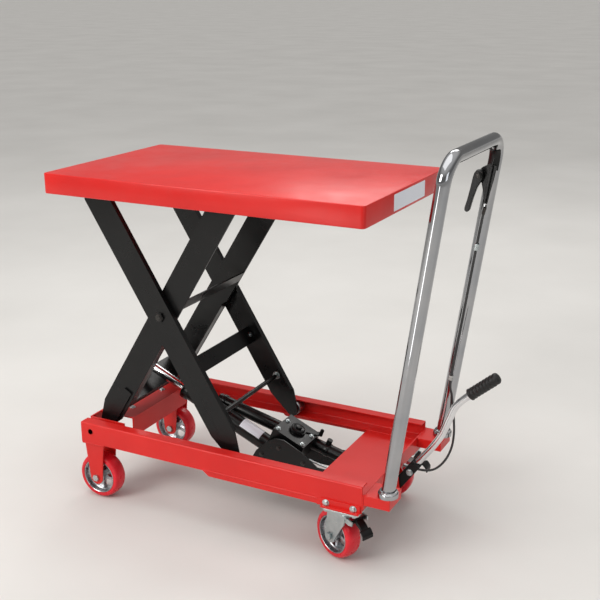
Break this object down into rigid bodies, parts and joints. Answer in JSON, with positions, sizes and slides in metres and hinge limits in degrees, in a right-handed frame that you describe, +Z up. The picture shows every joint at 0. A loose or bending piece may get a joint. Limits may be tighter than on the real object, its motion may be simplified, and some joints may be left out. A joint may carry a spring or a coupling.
{
  "type": "scissor lift table",
  "caption": "Hand-pushed hydraulic scissor lift table with a red deck and wheeled base, black arms, a chrome push handle and a foot pump.",
  "frame": {"origin": "on the floor under the middle of the bounding box, deck raised as in the picture", "axes": "+X towards the push handle, along the deck's length; +Z up, through the deck; +Y towards the far long side, where the release lever is"},
  "size_m": [1.0882, 0.5, 0.9978],
  "materials": {
    "red_paint": "gloss",
    "black_paint": "satin",
    "chrome": "polished",
    "zinc": "satin",
    "aluminium": "satin",
    "tyre": "satin",
    "rubber": "matte"
  },
  "bodies": {
    "base": {"front_crossmember": "red_paint", "rear_plate": "red_paint", "pump_cradle": "black_paint", "base_rail_near": "red_paint", "base_rail_far": "red_paint", "handle_socket_near": "red_paint", "handle_socket_far": "red_paint", "fixed_fork_near": "red_paint", "fixed_fork_far": "red_paint", "base_pin_near": "zinc", "base_pin_far": "zinc", "fixed_axle_near": "zinc", "fixed_axle_far": "zinc", "caster_plate_near": "zinc", "caster_plate_far": "zinc", "handle_tube": "chrome", "handle_collar_near": "chrome", "handle_collar_far": "chrome", "lever_bracket": "black_paint", "release_cable": "rubber"},
    "inner_arms": {"inner_arm_near": "black_paint", "inner_arm_far": "black_paint", "torsion_beam": "black_paint", "upper_brace": "black_paint"},
    "outer_arms": {"outer_arm_near": "black_paint", "outer_arm_far": "black_paint", "brace_plate": "black_paint", "tie_rod": "black_paint", "centre_pin_near": "zinc", "centre_pin_far": "zinc", "top_pivot_shaft": "zinc"},
    "deck": {"deck_tray": "red_paint", "deck_track_near": "red_paint", "deck_track_far": "red_paint"},
    "ram": {"ram_cylinder": "black_paint", "pump_body": "black_paint"},
    "piston": {"piston_rod": "chrome"},
    "plunger": {"pump_plunger": "zinc"},
    "pedal": {"pedal_lever": "black_paint", "pedal_tube": "chrome", "pedal_grip": "rubber"},
    "release": {"release_lever": "black_paint"},
    "lower_roller_near": {"lower_roller_near": "zinc"},
    "upper_roller_near": {"upper_roller_near": "zinc"},
    "fixed_wheel_near": {"fixed_near_tyre": "tyre", "fixed_near_hub": "aluminium"},
    "swivel_near": {"swivel_fork_near": "zinc", "swivel_axle_near": "zinc"},
    "swivel_wheel_near": {"swivel_near_tyre": "tyre", "swivel_near_hub": "aluminium"},
    "brake_near": {"brake_pedal_near": "black_paint"},
    "lower_roller_far": {"lower_roller_far": "zinc"},
    "upper_roller_far": {"upper_roller_far": "zinc"},
    "fixed_wheel_far": {"fixed_far_tyre": "tyre", "fixed_far_hub": "aluminium"},
    "swivel_far": {"swivel_fork_far": "zinc", "swivel_axle_far": "zinc"},
    "swivel_wheel_far": {"swivel_far_tyre": "tyre", "swivel_far_hub": "aluminium"},
    "brake_far": {"brake_pedal_far": "black_paint"}
  },
  "joints": [
    {"name": "scissor_lift", "type": "hinge", "parent": "base", "child": "inner_arms", "pos_m": [-0.48712, 0, 0.196], "axis": [0, 1, 0], "range_deg": [-2, 44.2]},
    {"name": "scissor_cross", "type": "hinge", "parent": "inner_arms", "child": "outer_arms", "pos_m": [-0.28223, 0, 0.53035], "axis": [0, 1, 0], "range_deg": [-88.4, 4]},
    {"name": "deck_level", "type": "hinge", "parent": "outer_arms", "child": "deck", "pos_m": [-0.48712, 0, 0.86469], "axis": [0, 1, 0], "range_deg": [-2, 44.2]},
    {"name": "ram_swing", "type": "hinge", "parent": "base", "child": "ram", "pos_m": [0.00588, 0, 0.13], "axis": [0, 1, 0], "range_deg": [-3.5, 0.2]},
    {"name": "ram_extend", "type": "slide", "parent": "ram", "child": "piston", "axis": [-0.9161, 0, 0.401], "range_m": [-0.1015, 0.005]},
    {"name": "lower_roller_spin_near", "type": "hinge", "parent": "outer_arms", "child": "lower_roller_near", "pos_m": [-0.07735, -0.184, 0.196], "axis": [0, 1, 0], "continuous": true},
    {"name": "upper_roller_spin_near", "type": "hinge", "parent": "inner_arms", "child": "upper_roller_near", "pos_m": [-0.07735, -0.184, 0.86469], "axis": [0, 1, 0], "continuous": true},
    {"name": "fixed_wheel_spin_near", "type": "hinge", "parent": "base", "child": "fixed_wheel_near", "pos_m": [-0.48062, -0.1745, 0.062], "axis": [0, 1, 0], "continuous": true},
    {"name": "swivel_turn_near", "type": "hinge", "parent": "base", "child": "swivel_near", "pos_m": [0.24638, -0.179, 0.135], "axis": [0, 0, 1], "continuous": true},
    {"name": "swivel_wheel_spin_near", "type": "hinge", "parent": "swivel_near", "child": "swivel_wheel_near", "pos_m": [0.21438, -0.16482, 0.062], "axis": [0.4051, 0.9143, 0], "continuous": true},
    {"name": "brake_press_near", "type": "hinge", "parent": "swivel_near", "child": "brake_near", "pos_m": [0.27701, -0.19257, 0.1235], "axis": [0.4051, 0.9143, 0], "range_deg": [0, 14]},
    {"name": "lower_roller_spin_far", "type": "hinge", "parent": "outer_arms", "child": "lower_roller_far", "pos_m": [-0.07735, 0.184, 0.196], "axis": [0, 1, 0], "continuous": true},
    {"name": "upper_roller_spin_far", "type": "hinge", "parent": "inner_arms", "child": "upper_roller_far", "pos_m": [-0.07735, 0.184, 0.86469], "axis": [0, 1, 0], "continuous": true},
    {"name": "fixed_wheel_spin_far", "type": "hinge", "parent": "base", "child": "fixed_wheel_far", "pos_m": [-0.48062, 0.1745, 0.062], "axis": [0, 1, 0], "continuous": true},
    {"name": "swivel_turn_far", "type": "hinge", "parent": "base", "child": "swivel_far", "pos_m": [0.24638, 0.179, 0.135], "axis": [0, 0, 1], "continuous": true},
    {"name": "swivel_wheel_spin_far", "type": "hinge", "parent": "swivel_far", "child": "swivel_wheel_far", "pos_m": [0.21145, 0.17686, 0.062], "axis": [-0.061, 0.9981, 0], "continuous": true},
    {"name": "brake_press_far", "type": "hinge", "parent": "swivel_far", "child": "brake_far", "pos_m": [0.27982, 0.18105, 0.1235], "axis": [-0.061, 0.9981, 0], "range_deg": [0, 14]},
    {"name": "pedal_stroke", "type": "hinge", "parent": "base", "child": "pedal", "pos_m": [0.29488, 0, 0.127], "axis": [0, 1, 0], "range_deg": [0, 25], "stiffness_Nm_per_rad": 14, "springref_deg": -20.05},
    {"name": "plunger_push", "type": "slide", "parent": "base", "child": "plunger", "axis": [1, 0, 0], "range_m": [-0.0075, 0]},
    {"name": "release_pull", "type": "hinge", "parent": "base", "child": "release", "pos_m": [0.42188, 0.154, 0.893], "axis": [0, 1, 0], "range_deg": [0, 20], "stiffness_Nm_per_rad": 0.8, "springref_deg": -28.65}
  ],
  "couplings": [
    {"joint": "scissor_cross", "follows": "scissor_lift", "ratio": -2},
    {"joint": "deck_level", "follows": "scissor_lift", "ratio": 1},
    {"joint": "ram_swing", "follows": "scissor_lift", "ratio": -0.076764},
    {"joint": "ram_extend", "follows": "scissor_lift", "m_per_rad": -0.13115},
    {"joint": "plunger_push", "follows": "pedal_stroke", "m_per_rad": -0.0165}
  ]
}
